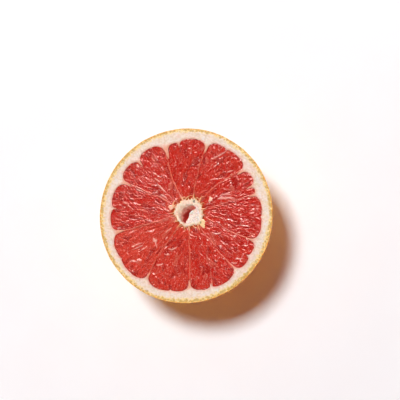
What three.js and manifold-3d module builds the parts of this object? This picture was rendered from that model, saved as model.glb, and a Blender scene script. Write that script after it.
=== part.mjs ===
// Half a red grapefruit, cut across its segments and lying on its rind with the cut face up.
// Lengths are in millimetres and angles in degrees. +Z is up, and the origin is the middle of the
// small flat spot that the fruit rests on, straight below the middle of the cut face.
import * as THREE from "three";
import Module from "manifold-3d";
import { mergeVertices } from "three/addons/utils/BufferGeometryUtils.js";

// Driving dimensions of the rind.
const CUT_RADIUS = 52.5; // outside of the rind at the cut
const HALF_HEIGHT = 48; // from the flat spot to the cut face
const REST_RADIUS = 9.5; // the flat spot

// Driving dimensions of the cut face.
const FLESH_RADIUS = 46.5; // outer end of the flesh, before it is made a little oval
const OVAL_SHARE = 0.013; // how much longer and shorter the flesh's long and short diameters are
const OVAL_ANGLE = 50; // direction of the long diameter
const FLESH_SINK = 0.5; // how far the flesh lies below the pith and the membranes
const MEMBRANE_WIDTH = 0.9;
const MEMBRANE_NOTCH = { depth: 4.2, width: 5.2 }; // pith that reaches in where a membrane meets it
const LOBE_NOTCH = { depth: 1.9, width: 2.6 }; // pith that reaches in between two lobes of a segment

// The membranes between the twelve segments: the angle at which each leaves the pith, the angle at
// which it reaches the core, and how far its middle bows aside, counter-clockwise.
const MEMBRANES = [
  { pith: 14.9, core: 10, bow: 0.5 },
  { pith: 36.7, core: 46, bow: 1.7 },
  { pith: 72.2, core: 73, bow: 1.4 },
  { pith: 106.2, core: 115, bow: 2.2 },
  { pith: 130.9, core: 141, bow: 1.2 },
  { pith: 151.2, core: 157, bow: -0.7 },
  { pith: 193, core: 191, bow: 0.5 },
  { pith: 238.4, core: 238, bow: -1.6 },
  { pith: 273.8, core: 271, bow: 0.2 },
  { pith: 290.4, core: 294, bow: 2.2 },
  { pith: 313.1, core: 307, bow: -1.1 },
  { pith: 338.9, core: 350, bow: -1.2 },
];
// Where the outer edge of a segment dips between two lobes.
const LOBE_DIPS = [22.2, 57.2, 95, 173.8, 213.7, 258.7, 326.7, 357.3];

// The open core, in the middle of the membranes and a little off the middle of the cut face. Its
// hollow is an oval funnel, stated by the half lengths and the middle of its sections downwards.
const CORE_CENTRE = new THREE.Vector2(2.3, 1.6);
const CORE_RADIUS = 8.2; // outside of the ring of white pith
const HOLLOW_ANGLE = 50; // direction of the hollow's long half length
const HOLLOW_SECTIONS = [
  { depth: 0, long: 6.4, short: 5.8, middle: CORE_CENTRE },
  { depth: 1.6, long: 5.5, short: 3.5, middle: new THREE.Vector2(1.6, 2.0) },
  { depth: 5, long: 4.9, short: 3.2, middle: new THREE.Vector2(1.3, 2.2) },
  { depth: 9, long: 3.8, short: 2.0, middle: new THREE.Vector2(1.0, 2.0) },
];

// Fineness of the faceted surfaces.
const STEPS_AROUND = 72;
const STEPS_UP = 18;
const STEPS_ON_EDGE = 180;
const STEPS_ON_MEMBRANE = 6;
const STEPS_ON_HOLLOW = 28;
const OVERCUT = 1; // a cutting solid stands this far out of what it cuts

const wasm = await Module();
wasm.setup();

const radians = THREE.MathUtils.degToRad;

function solid(geometry) {
  const bare = geometry.index ? geometry.toNonIndexed() : geometry.clone();
  bare.deleteAttribute("normal");
  bare.deleteAttribute("uv");
  const merged = mergeVertices(bare, 1e-4);
  return new wasm.Manifold(
    new wasm.Mesh({
      numProp: 3,
      vertProperties: merged.attributes.position.array,
      triVerts: new Uint32Array(merged.index.array),
    }),
  );
}

function geometryOf(manifold) {
  const mesh = manifold.getMesh();
  const geometry = new THREE.BufferGeometry();
  geometry.setAttribute("position", new THREE.BufferAttribute(mesh.vertProperties, 3));
  geometry.setIndex(new THREE.BufferAttribute(mesh.triVerts, 1));
  const faceted = geometry.toNonIndexed();
  faceted.computeVertexNormals();
  return faceted;
}

// The rind's outside: a quarter ellipse from the flat spot to the cut, turned about +Z.
// The ellipse goes on below the flat spot, so the spot is where that cap is missing.
function halfFruit() {
  const capShare = Math.sqrt(1 - (REST_RADIUS / CUT_RADIUS) ** 2);
  const poleHeight = HALF_HEIGHT / capShare;
  const lowest = Math.asin(REST_RADIUS / CUT_RADIUS);
  const profile = [new THREE.Vector2(0, 0)];
  for (let i = 0; i <= STEPS_UP; i++) {
    const turn = THREE.MathUtils.lerp(lowest, Math.PI / 2, i / STEPS_UP);
    profile.push(
      new THREE.Vector2(CUT_RADIUS * Math.sin(turn), HALF_HEIGHT - poleHeight * Math.cos(turn)),
    );
  }
  profile.push(new THREE.Vector2(0, HALF_HEIGHT));
  return solid(new THREE.LatheGeometry(profile, STEPS_AROUND).rotateX(Math.PI / 2));
}

// How far the pith reaches in beside a notch: a quarter ellipse that ends at the notch's width.
function reachIn(notch, along) {
  const inside = 1 - Math.min(along / notch.width, 1);
  return notch.depth * (1 - Math.sqrt(1 - inside ** 2));
}

// The outer edge of the flesh in a direction.
function fleshReach(angle) {
  const apart = (degrees) => {
    const turn = angle - radians(degrees);
    return FLESH_RADIUS * Math.abs(Math.atan2(Math.sin(turn), Math.cos(turn)));
  };
  const membranes = MEMBRANES.map((m) => reachIn(MEMBRANE_NOTCH, apart(m.pith)));
  const dips = LOBE_DIPS.map((degrees) => reachIn(LOBE_NOTCH, apart(degrees)));
  const oval = 1 + OVAL_SHARE * Math.cos(2 * (angle - radians(OVAL_ANGLE)));
  return FLESH_RADIUS * oval - Math.max(...membranes, ...dips);
}

function pointAt(angle, radius, centre = new THREE.Vector2()) {
  return new THREE.Vector2(Math.cos(angle), Math.sin(angle)).multiplyScalar(radius).add(centre);
}

// A flat outline made solid between two heights.
function slab(outline, low, high) {
  const geometry = new THREE.ExtrudeGeometry(new THREE.Shape(outline), {
    depth: high - low,
    bevelEnabled: false,
  });
  return solid(geometry.translate(0, 0, low));
}

function fleshField(low, high) {
  const outline = [];
  for (let i = 0; i < STEPS_ON_EDGE; i++) {
    const angle = (i / STEPS_ON_EDGE) * 2 * Math.PI;
    outline.push(pointAt(angle, fleshReach(angle)));
  }
  return slab(outline, low, high);
}

function membrane({ pith, core, bow }, low, high) {
  const start = pointAt(radians(core), CORE_RADIUS - 1, CORE_CENTRE);
  const end = pointAt(radians(pith), FLESH_RADIUS);
  const aside = end.clone().sub(start).normalize().rotateAround(new THREE.Vector2(), Math.PI / 2);
  const middle = start.clone().lerp(end, 0.5).addScaledVector(aside, 2 * bow);
  const line = new THREE.QuadraticBezierCurve(start, middle, end);
  const sides = [[], []];
  for (let i = 0; i <= STEPS_ON_MEMBRANE; i++) {
    const along = line.getTangent(i / STEPS_ON_MEMBRANE);
    const across = new THREE.Vector2(-along.y, along.x).multiplyScalar(MEMBRANE_WIDTH / 2);
    const point = line.getPoint(i / STEPS_ON_MEMBRANE);
    sides[0].push(point.clone().sub(across));
    sides[1].unshift(point.clone().add(across));
  }
  return slab([...sides[0], ...sides[1]], low, high);
}

function coreRing(low, high) {
  const outline = [];
  for (let i = 0; i < STEPS_ON_HOLLOW; i++) {
    outline.push(pointAt((i / STEPS_ON_HOLLOW) * 2 * Math.PI, CORE_RADIUS, CORE_CENTRE));
  }
  return slab(outline, low, high);
}

// The pockets that the flesh fills, open at the cut face.
function fleshPockets() {
  const low = HALF_HEIGHT - FLESH_SINK;
  const high = HALF_HEIGHT + OVERCUT;
  let pockets = fleshField(low, high).subtract(coreRing(low - OVERCUT, high + OVERCUT));
  for (const each of MEMBRANES) {
    pockets = pockets.subtract(membrane(each, low - OVERCUT, high + OVERCUT));
  }
  return pockets;
}

// The open middle of the core: the unit column's rings become the hollow's sections.
function coreHollow() {
  const above = { ...HOLLOW_SECTIONS[0], depth: -OVERCUT };
  const sections = [...HOLLOW_SECTIONS].reverse().concat(above);
  const profile = [
    new THREE.Vector2(0, 0),
    ...sections.map((_, i) => new THREE.Vector2(1, i)),
    new THREE.Vector2(0, sections.length - 1),
  ];
  const column = new THREE.LatheGeometry(profile, STEPS_ON_HOLLOW).rotateX(Math.PI / 2);
  const places = column.attributes.position;
  for (let i = 0; i < places.count; i++) {
    const { depth, long, short, middle } = sections[Math.round(places.getZ(i))];
    const place = new THREE.Vector2(places.getX(i) * long, places.getY(i) * short);
    place.rotateAround(new THREE.Vector2(), radians(HOLLOW_ANGLE)).add(middle);
    places.setXYZ(i, place.x, place.y, HALF_HEIGHT - depth);
  }
  return solid(column);
}

const rindColour = new THREE.MeshStandardMaterial({
  color: 0xf0a23c,
  roughness: 0.45,
  metalness: 0,
});

const half = new THREE.Mesh(
  geometryOf(halfFruit().subtract(fleshPockets()).subtract(coreHollow())),
  rindColour,
);
half.name = "grapefruit_half";

const grapefruit = new THREE.Group();
grapefruit.add(half);

export default grapefruit;
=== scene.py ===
"""Half of a red grapefruit, cut face up: rind, pith, membranes, segments, core and seeds."""

import itertools
import math

import bmesh
import bpy
import numpy as np
from bpy.props import FloatProperty, FloatVectorProperty, IntProperty, PointerProperty
from mathutils import Matrix, Vector, kdtree


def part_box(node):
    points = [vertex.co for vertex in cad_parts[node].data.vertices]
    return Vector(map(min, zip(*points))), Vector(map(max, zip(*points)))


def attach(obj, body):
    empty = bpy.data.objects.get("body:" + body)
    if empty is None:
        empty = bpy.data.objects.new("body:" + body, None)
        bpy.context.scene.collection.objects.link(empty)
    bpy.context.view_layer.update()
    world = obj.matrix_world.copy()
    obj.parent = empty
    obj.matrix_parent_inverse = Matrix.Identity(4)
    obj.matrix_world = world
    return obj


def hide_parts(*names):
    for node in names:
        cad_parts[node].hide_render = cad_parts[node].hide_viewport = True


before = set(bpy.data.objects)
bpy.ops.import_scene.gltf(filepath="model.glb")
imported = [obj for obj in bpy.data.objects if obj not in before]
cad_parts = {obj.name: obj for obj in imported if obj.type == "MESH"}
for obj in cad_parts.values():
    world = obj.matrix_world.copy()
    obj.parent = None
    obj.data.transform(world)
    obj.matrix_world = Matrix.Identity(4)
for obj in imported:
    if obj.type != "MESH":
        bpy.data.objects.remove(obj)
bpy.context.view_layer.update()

bl_info = {
    "name": "Halved grapefruit",
    "version": (1, 0, 0),
    "blender": (4, 5, 0),
    "location": "3D View > Sidebar > Grapefruit",
    "description": "Builds the rind, pith, membranes, segments, core and seeds of half a grapefruit",
    "category": "Object",
}

NODE = "grapefruit_half"
LOW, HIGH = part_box(NODE)
MM = 0.001

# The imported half, in millimetres: every length below is in millimetres too, and becomes metres when
# a piece's mesh is made.
HEIGHT = HIGH.z / MM
CUT_RADIUS = (HIGH.x - LOW.x) / 2 / MM
REST_RADIUS = 9.5
POLE_HEIGHT = HEIGHT / math.sqrt(1 - (REST_RADIUS / CUT_RADIUS) ** 2)

# Points around the cut face. The hidden bowls under it have a quarter as many.
COLUMNS = 1088

# The cut face.
FLESH_RADIUS = 46.5
CORE_CENTRE = np.array([2.3, 1.6])
CORE_RADIUS = 8.0

# The bowl inside the pith that the segments lie in.
BOWL_TOP = HEIGHT - 5
BOWL_RADIUS = 47.5
BOWL_DEPTH = 42.0

# Distance between points where a piece is hidden inside the fruit.
HIDDEN_SPACING = 3.0

# Distance between rows of evenly spread points, against the distance between the points.
PACKING = 0.87

# The membranes between the segments, counter-clockwise: the angle at which each leaves the pith and
# the angle at which it reaches the core, how far its middle bows aside, how much of it shows, and
# the length of its spur on the core.
MEMBRANES = (
    (14.9, 10, 0.5, 0.50, 1.4),
    (36.7, 46, 1.7, 0.90, 1.6),
    (72.2, 73, 1.4, 0.90, 1.6),
    (106.2, 115, 2.2, 1.00, 1.0),
    (130.9, 141, 1.2, 0.30, 1.0),
    (151.2, 157, -0.7, 0.95, 0.8),
    (193.0, 191, 0.5, 1.00, 1.6),
    (238.4, 238, -1.6, 0.80, 1.4),
    (273.8, 271, 0.2, 1.00, 1.6),
    (290.4, 294, 2.2, 0.35, 0.6),
    (313.1, 307, -1.1, 0.85, 1.2),
    (338.9, 350, -1.2, 0.75, 1.2),
)

# How pale each segment is, starting with the one after the first membrane.
SEGMENT_PALENESS = (0.0, 0.04, 0.0, 0.0, 0.0, 0.04, 0.32, 0.20, 0.06, 0.0, 0.0, 0.0)

# The lobes of the flesh, counter-clockwise: the angles at which each starts, peaks and ends, the
# radius it reaches, and how far the pith comes in before it and after it.
LOBES = (
    (-2.7, 3.0, 14.5, 46.1, 0.9, 5.0),
    (15.3, 18.9, 21.7, 44.3, 5.0, 3.8),
    (22.6, 28.9, 36.0, 45.8, 4.5, 5.0),
    (37.5, 46.7, 57.2, 47.0, 6.5, 1.1),
    (57.2, 62.2, 71.3, 46.8, 0.9, 6.0),
    (73.1, 84.0, 94.7, 46.2, 6.0, 4.0),
    (95.3, 98.5, 105.0, 44.2, 3.5, 6.0),
    (107.5, 120.6, 130.4, 46.3, 8.0, 5.6),
    (131.5, 142.2, 150.4, 46.3, 4.6, 6.0),
    (152.1, 164.4, 173.2, 46.0, 7.0, 2.5),
    (174.3, 182.2, 192.1, 45.8, 2.5, 6.0),
    (194.0, 207.2, 213.7, 46.9, 7.0, 0.8),
    (213.7, 224.4, 237.9, 47.6, 1.5, 7.0),
    (238.8, 250.0, 258.6, 46.7, 6.0, 1.5),
    (258.8, 263.0, 273.3, 45.7, 0.5, 6.0),
    (274.3, 286.6, 290.0, 45.8, 6.0, 2.2),
    (290.8, 301.1, 312.8, 47.0, 2.4, 7.0),
    (313.5, 321.7, 326.5, 46.6, 6.0, 2.4),
    (327.0, 332.8, 338.5, 45.9, 1.8, 6.0),
    (339.4, 349.4, 357.3, 46.2, 6.0, 0.9),
)

# The core's rim, counter-clockwise about its own centre: angle and radius.
CORE_RIM = (
    (9, 7.6), (30, 8.3), (50, 8.3), (68, 8.5), (83, 7.7), (100, 7.4), (115, 8.2), (130, 7.2),
    (146, 8.1), (161, 8.5), (180, 8.8), (197, 8.2), (222, 7.9), (237, 8.3), (252, 8.8), (271, 8.7),
    (289, 8.0), (304, 9.0), (329, 8.8), (350, 8.0),
)  # fmt: skip

# Smaller spurs on the core, between the membranes: angle and length.
SMALL_SPURS = (
    (28, 1.0), (60, 0.9), (93, 1.3), (128, 1.2), (172, 0.8), (213, 0.7), (255, 0.8), (324, 0.9),
)  # fmt: skip

# Cream threads that hang on between the core and the sacs: start, bend, end and half thickness.
THREADS = (
    ((-6.6, 4.4), (-8.4, 7.0), (-5.2, 8.7), 0.26),
    ((-7.2, 4.9), (-6.4, 6.6), (-5.0, 6.2), 0.20),
    ((-1.4, 8.9), (-2.2, 10.6), (-3.4, 12.2), 0.17),
    ((-1.9, 9.4), (-0.6, 11.8), (0.8, 10.2), 0.17),
    ((0.2, 9.0), (1.4, 12.0), (2.0, 10.2), 0.18),
    ((1.8, 10.6), (3.4, 12.6), (5.2, 11.2), 0.14),
    ((5.3, 9.8), (5.2, 11.6), (5.4, 13.4), 0.17),
    ((6.0, 9.6), (7.8, 10.9), (8.3, 8.8), 0.15),
    ((8.7, 8.0), (9.0, 10.8), (11.5, 10.9), 0.24),
    ((9.3, 6.2), (11.4, 8.0), (11.9, 6.5), 0.16),
    ((9.7, 3.6), (11.4, 3.6), (13.2, 3.2), 0.16),
    ((-6.5, 1.7), (-8.6, 0.9), (-9.8, 1.2), 0.17),
    ((-3.0, -5.4), (-4.2, -6.8), (-5.6, -8.4), 0.17),
    ((2.3, -7.3), (2.6, -9.0), (2.5, -10.6), 0.17),
    ((4.8, -6.2), (6.3, -8.6), (8.0, -7.2), 0.16),
    ((7.6, -6.4), (8.6, -8.6), (9.3, -9.8), 0.16),
    ((10.8, -3.4), (11.8, -4.2), (13.0, -4.4), 0.13),
    ((-4.2, -3.6), (-6.4, -3.4), (-7.6, -4.4), 0.15),
    ((-0.4, -7.0), (-0.6, -9.0), (0.8, -9.2), 0.14),
)

# Pale raised folds of torn sac skin on the flesh, some placed where bright glints lie, so their pale
# colour is partly painted highlight: start, bend, end and half width.
FOLDS_AND_GLINTS = (
    ((15.5, 33.3), (20.0, 34.6), (25.3, 38.2), 0.34),
    ((15.0, 20.8), (17.5, 21.4), (20.0, 21.0), 0.28),
    ((25.4, 25.0), (27.0, 25.9), (28.8, 26.1), 0.28),
    ((17.2, 28.3), (18.6, 29.6), (20.4, 30.2), 0.24),
    ((19.5, 9.2), (24.0, 10.4), (29.6, 9.5), 0.50),
    ((21.0, 11.2), (24.0, 12.2), (27.6, 11.6), 0.34),
    ((-19.6, 25.8), (-18.6, 25.6), (-17.4, 24.6), 0.40),
    ((-18.8, 22.6), (-17.0, 21.6), (-15.4, 20.0), 0.26),
    ((-17.3, 19.3), (-14.2, 16.6), (-11.4, 13.4), 0.24),
    ((-14.6, 12.6), (-12.8, 11.8), (-11.1, 10.1), 0.46),
    ((-29.8, 16.1), (-28.6, 15.6), (-27.4, 15.0), 0.36),
    ((-29.6, 31.2), (-28.9, 30.4), (-28.5, 29.4), 0.50),
    ((-18.9, -14.0), (-18.2, -15.0), (-17.8, -16.4), 0.85),
    ((-18.0, -16.0), (-17.6, -17.6), (-17.0, -19.3), 0.30),
    ((-10.1, -19.9), (-7.2, -21.4), (-4.5, -18.6), 0.34),
    ((-32.8, -26.9), (-31.0, -27.4), (-29.1, -27.4), 0.40),
    ((-32.6, -18.8), (-29.6, -17.4), (-26.4, -16.4), 0.26),
    ((-31.0, -20.1), (-28.8, -19.2), (-25.8, -17.9), 0.22),
    ((-27.0, -20.9), (-25.0, -19.9), (-23.0, -18.4), 0.28),
    ((-12.0, -10.3), (-9.8, -8.8), (-8.0, -7.4), 0.24),
    ((-11.8, -14.1), (-11.1, -13.6), (-10.4, -13.2), 0.36),
    ((-17.3, -29.5), (-15.4, -29.9), (-13.4, -28.9), 0.34),
    ((-12.2, -23.4), (-10.8, -23.8), (-9.4, -23.5), 0.30),
    ((-23.0, -9.2), (-21.2, -9.8), (-19.4, -9.7), 0.28),
    ((16.6, -10.6), (19.0, -12.6), (21.8, -10.4), 0.34),
    ((29.0, -12.7), (29.8, -13.2), (30.6, -13.0), 0.45),
    ((32.5, -6.5), (35.6, -6.8), (38.8, -7.5), 0.22),
    ((28.0, -28.6), (29.6, -29.2), (31.1, -28.9), 0.30),
    ((30.0, -26.6), (32.2, -26.3), (34.5, -26.4), 0.22),
    ((35.0, -18.4), (36.0, -18.9), (37.1, -18.7), 0.34),
    ((20.4, -18.4), (21.3, -19.0), (22.3, -18.8), 0.42),
)

# Undeveloped seeds: place on the cut face, length, width, thickness, direction and how pointed.
SEEDS = (
    (15.5, 9.6, 3.9, 3.9, 0.9, 110, 1.3),
    (-8.8, 4.9, 3.4, 3.0, 0.9, 150, 0.5),
    (10.5, -5.5, 5.8, 4.6, 0.9, 293, 0.8),
)


def colour(red, green, blue):
    """A screen colour, 0 to 255, as the scene's own linear one."""
    shares = np.array([red, green, blue]) / 255
    return tuple(np.where(shares < 0.04045, shares / 12.92, ((shares + 0.055) / 1.055) ** 2.4))


# ---------------------------------------------------------------------------------------------
# Sizes and colours that a user would change
# ---------------------------------------------------------------------------------------------


def length_setting(name, description, millimetres, least=0.0):
    """A setting for a length of at least so many millimetres."""
    return FloatProperty(
        name=name,
        description=description,
        default=millimetres * MM,
        min=least * MM,
        unit="LENGTH",
        subtype="DISTANCE",
    )


def number_setting(name, description, default, unit="NONE"):
    """A setting for a number that is never below 0."""
    return FloatProperty(name=name, description=description, default=default, min=0.0, unit=unit)


def colour_setting(name, description, red, green, blue):
    """A setting for a colour."""
    return FloatVectorProperty(
        name=name,
        description=description,
        default=colour(red, green, blue),
        min=0.0,
        max=1.0,
        size=3,
        subtype="COLOR",
    )


class RindSettings(bpy.types.PropertyGroup):
    """The yellow outer rind with its oil glands."""

    thickness: length_setting("Thickness", "Thickness of the coloured layer of the rind", 3.4, 0.5)
    gland_spacing: length_setting("Gland spacing", "Distance between neighbouring oil glands", 2.3, 1)
    gland_depth: length_setting("Gland depth", "How deep the dimple over an oil gland is", 0.15)
    yellow: colour_setting("Yellow", "The palest side of the rind", 254, 204, 46)
    orange: colour_setting("Orange", "The deeper side of the rind", 250, 174, 36)
    blush: colour_setting("Blush", "Blushed patches of the rind", 242, 136, 32)
    cut_glands: colour_setting("Cut glands", "Oil glands where the knife has opened them", 192, 142, 54)


class PithSettings(bpy.types.PropertyGroup):
    """The white pith, the membranes and the core."""

    cream: colour_setting("Pith", "The pith between rind and flesh", 250, 229, 213)
    pink: colour_setting("Pith beside the flesh", "Where the juice tints the pith", 236, 176, 152)
    membrane: colour_setting("Membranes", "The thin walls between the segments", 230, 108, 80)
    membrane_width: length_setting(
        "Membrane width",
        "Thickness of a wall between two segments",
        0.72,
        0.1,
    )


class FleshSettings(bpy.types.PropertyGroup):
    """The juice sacs of the segments."""

    sac_length: length_setting("Sac length", "Length of a juice sac as the cut shows it", 6.6, 1)
    sac_width: length_setting("Sac width", "Width of a juice sac", 2.0, 0.5)
    sac_swell: length_setting("Sac swell", "How far a full sac bulges out of the cut", 0.27)
    deep: colour_setting("Deep red", "The flesh near the pith", 199, 27, 18)
    bright: colour_setting("Bright red", "The flesh near the core", 210, 50, 31)
    sac_wall: colour_setting("Sac walls", "The pale skins of the sacs", 234, 108, 88)


class StageSettings(bpy.types.PropertyGroup):
    """The floor, the lights and the number that varies the fruit."""

    floor: colour_setting("Floor", "The pale floor", 255, 254, 253)
    key_power: number_setting("Key light", "Power of the soft box at the upper left", 73.0, "POWER")
    glints: number_setting(
        "Glints",
        "Power of the lamps that only show as glints on wet flesh, against the key light",
        2.5,
    )
    side_fill: number_setting(
        "Side fill",
        "Power of each low lamp around the fruit, against the key light",
        0.05,
    )
    sky_strength: number_setting("Studio walls", "Brightness of the room around the fruit", 0.56)
    seed: IntProperty(
        name="Variation",
        description="Another number gives another fruit of the same kind",
        default=7,
        min=0,
    )


class GrapefruitSettings(bpy.types.PropertyGroup):
    """All settings of the half grapefruit."""

    rind: PointerProperty(type=RindSettings)
    pith: PointerProperty(type=PithSettings)
    flesh: PointerProperty(type=FleshSettings)
    stage: PointerProperty(type=StageSettings)


# ---------------------------------------------------------------------------------------------
# Shapes of the cut fruit
# ---------------------------------------------------------------------------------------------


def turned(angle):
    """An angle brought to between minus and plus half a turn."""
    return np.arctan2(np.sin(angle), np.cos(angle))


def around(count):
    """Angles of a loop's points, counter-clockwise from +X."""
    return np.arange(count) / count * 2 * np.pi


def facing(angle, degrees):
    """How much angles point the same way as one given in degrees, from -1 to 1."""
    return np.cos(angle - math.radians(degrees))


def deep(places):
    """Points of the cut face as points in space."""
    return np.c_[places, np.zeros(len(places))]


def flat(angle, radius, centre=(0, 0)):
    """Points on the cut face at an angle and a radius."""
    return np.stack([np.cos(angle), np.sin(angle)], -1) * np.asarray(radius)[..., None] + centre


def smooth(share):
    """An S-shaped step from 0 to 1."""
    share = np.clip(share, 0, 1)
    return share * share * (3 - 2 * share)


def drift(places, size, seed=0):
    """Smooth random values from -1 to 1 that change over lengths of about size."""
    places = np.asarray(places, float)
    if places.shape[1] == 2:
        places = np.c_[places, np.zeros(len(places))]
    cells = np.floor(places / size).astype(np.int64)
    ease = smooth(places / size - cells)
    total = np.zeros(len(places))
    for corner in itertools.product((0, 1), repeat=3):
        at = cells + corner
        mixed = at[:, 0] * 73856093 ^ at[:, 1] * 19349663 ^ at[:, 2] * 83492791 ^ (seed * 40503 + 977)
        mixed = (mixed ^ (mixed >> 15)) * 2246822519 & 0xFFFFFFFF
        mixed = (mixed ^ (mixed >> 13)) * 3266489917 & 0xFFFFFFFF
        value = (mixed >> 9 & 0xFFFF) / 32767.5 - 1
        total += value * np.prod(np.where(corner, ease, 1 - ease), axis=1)
    return total


def crumble(places, size, seed=0, layers=3):
    """Drift with finer and finer layers on it."""
    parts = [drift(places, size / 2**n, seed + n) / 2**n for n in range(layers)]
    return sum(parts) / 1.4


def creased(places, size, seed=0):
    """Ridges from -1 to 1 with rounded valleys between them."""
    return 1 - 2 * np.abs(drift(places, size, seed)) ** 0.7


def search_tree(points):
    """A tree that finds the nearest of some points."""
    tree = kdtree.KDTree(len(points))
    for number, point in enumerate(points):
        tree.insert(point, number)
    tree.balance()
    return tree


def nearest(points, places):
    """For each place, the distance to the nearest point and that point's number."""
    tree = search_tree(points)
    found = [tree.find(place)[1:] for place in places]
    return np.array([f[1] for f in found]), np.array([f[0] for f in found])


def waver(angle, size, seed, radius=CUT_RADIUS):
    """Drift along a circle, around the cut face or around the core."""
    return drift(flat(angle, radius), size, seed)


def in_line(places, turn):
    """How far places lie along and across a direction."""
    cosine, sine = np.cos(turn), np.sin(turn)
    along = places[..., 0] * cosine + places[..., 1] * sine
    return along, places[..., 1] * cosine - places[..., 0] * sine


def flesh_edge(angle):
    """Radius of the flesh's scalloped edge in each direction."""
    edge = np.zeros_like(angle)
    for start, peak, end, reach, before, after in LOBES:
        off = np.degrees(turned(angle - math.radians(peak)))
        way = np.where(off < 0, -off / (peak - start), off / (end - peak))
        depth = np.where(off < 0, before, after)
        arch = reach - depth * (1 - (1 - np.minimum(way, 1) ** 2.5) ** 0.4)
        past = np.maximum(np.where(off < 0, start - peak - off, off - (end - peak)), 0)
        edge = np.maximum(edge, arch - 2.4 * past)
    return edge + 0.16 * waver(angle, 3.4, 21) + 0.07 * waver(angle, 1.3, 22)


def uneven(places):
    """How far the outside of the rind lies inside its plain shape."""
    layers = ((0.12, 9, 11), (0.07, 3, 12), (0.04, 1.2, 13))
    return sum(depth * (1 + drift(places, size, seed)) for depth, size, seed in layers)


def cut_height(places):
    """Height of the knife's cut through rind and pith, which is spongy and never quite flat."""
    spongy = smooth((50.5 - np.hypot(*places.T)) / 2)
    rough = 0.10 * (0.6 + crumble(places, 2.2, 51)) + 0.07 * (1 + crumble(places, 0.8, 55))
    return HEIGHT - 0.03 - np.clip(rough * (0.35 + 0.65 * spongy), 0, 0.4)


def off_edge(places):
    """Distance from the flesh's edge, above 0 in the flesh and below 0 in the pith."""
    angle = around(4 * COLUMNS)
    outline = flat(angle, flesh_edge(angle))
    near, _ = nearest(deep(outline), deep(places))
    turn = np.arctan2(places[:, 1], places[:, 0])
    return np.where(np.hypot(*places.T) < flesh_edge(turn), near, -near)


def core_edge(angle, spurs=True):
    """Radius of the core's rim about its own centre, with its spurs along the membranes."""
    at, radius = np.radians([p[0] for p in CORE_RIM]), [p[1] for p in CORE_RIM]
    edge = np.interp(angle, at, radius, period=2 * np.pi)
    edge = edge + 0.42 * waver(angle, 2.1, 31, CORE_RADIUS) + 0.30 * waver(angle, 0.9, 32, CORE_RADIUS)
    if spurs:
        at_membranes = [(core, length, 0.65, 1.15) for _, core, _, _, length in MEMBRANES]
        between = [(at, length, 0.5, 1.2) for at, length in SMALL_SPURS]
        for at, length, half, taper in at_membranes + between:
            along = CORE_RADIUS * turned(angle - math.radians(at))
            edge = edge + length * np.exp(-(np.abs(along / half) ** taper))
    return edge


def arc(start, bend, end, count):
    """Points along a curve that starts and ends at two points and leans towards a third."""
    t = np.linspace(0, 1, count)[:, None]
    return (1 - t) ** 2 * np.array(start) + 2 * t * (1 - t) * np.array(bend) + t**2 * np.array(end)


def fold_and_glint(places):
    """How far each place is a raised fold of torn sac skin, whose pale colour is partly painted
    highlight, from 0 to 1.
    """
    count = 30
    folds = [arc(start, bend, end, count) for start, bend, end, _ in FOLDS_AND_GLINTS]
    near, which = nearest(deep(np.concatenate(folds)), deep(places))
    half = np.array([fold[3] for fold in FOLDS_AND_GLINTS])[which // count]
    ends = np.sin(np.pi * (which % count + 0.5) / count) ** 0.4
    frayed = 1 + 0.35 * drift(places, 0.9, 111)
    return np.exp(-((near / (1.05 * half * ends * frayed)) ** 2))


def off_core(places):
    """Distance from the core's rim, above 0 outside it."""
    from_core = places - CORE_CENTRE
    turn = np.arctan2(from_core[:, 1], from_core[:, 0])
    return np.hypot(*from_core.T) - core_edge(turn)


def crossways(line):
    """The direction across a line at each of its points."""
    along = np.gradient(line, axis=0)
    across = np.stack([-along[:, 1], along[:, 0]], -1)
    return across / np.linalg.norm(across, axis=1)[:, None]


def membrane_line(membrane, count):
    """Points along a membrane on the cut face, from the core out, and the way across it at each."""
    pith, core, bow = membrane[:3]
    core = np.radians([core])
    first = flat(core, core_edge(core, spurs=False) - 0.4, CORE_CENTRE)[0]
    last = flat(math.radians(pith), FLESH_RADIUS)
    aside = np.array([first[1] - last[1], last[0] - first[0]])
    middle = (first + last) / 2 + 2 * bow * aside / np.linalg.norm(aside)
    line = arc(first, middle, last, count)
    across = crossways(line)
    wiggle = 0.45 * drift(line, 5.5, 40 + round(pith)) + 0.2 * drift(line, 2.0, 60 + round(pith))
    wiggle = wiggle * np.sin(np.pi * np.linspace(0, 1, count)) ** 0.5
    return line + across * wiggle[:, None], across


def bowl(columns, radius, depth, top, spacing):
    """Rings of evenly spread points over half an ellipsoid that hangs below the cut face."""
    lean = np.linspace(np.pi / 2, 0, 400)
    profile = np.c_[radius * np.sin(lean), top - depth * np.cos(lean)]
    length = np.r_[0, np.cumsum(np.linalg.norm(np.diff(profile, axis=0), axis=1))]
    rows = round(length[-1] / (PACKING * spacing))
    at = np.linspace(0, length[-1], rows + 1)[:-1]
    reach = np.interp(at, length, profile[:, 0])
    height = np.interp(at, length, profile[:, 1])
    counts = np.maximum(np.round(2 * np.pi * reach / spacing).astype(int), 6)
    counts[0] = columns
    places = []
    for row, count in enumerate(counts):
        angle = around(count) + (row % 2) * np.pi / count
        places.append(np.c_[flat(angle, reach[row]), np.full(count, height[row])])
    places.append([[0, 0, top - depth]])
    rings = np.split(np.arange(counts.sum()), np.cumsum(counts)[:-1])
    return np.concatenate(places), rings


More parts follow.
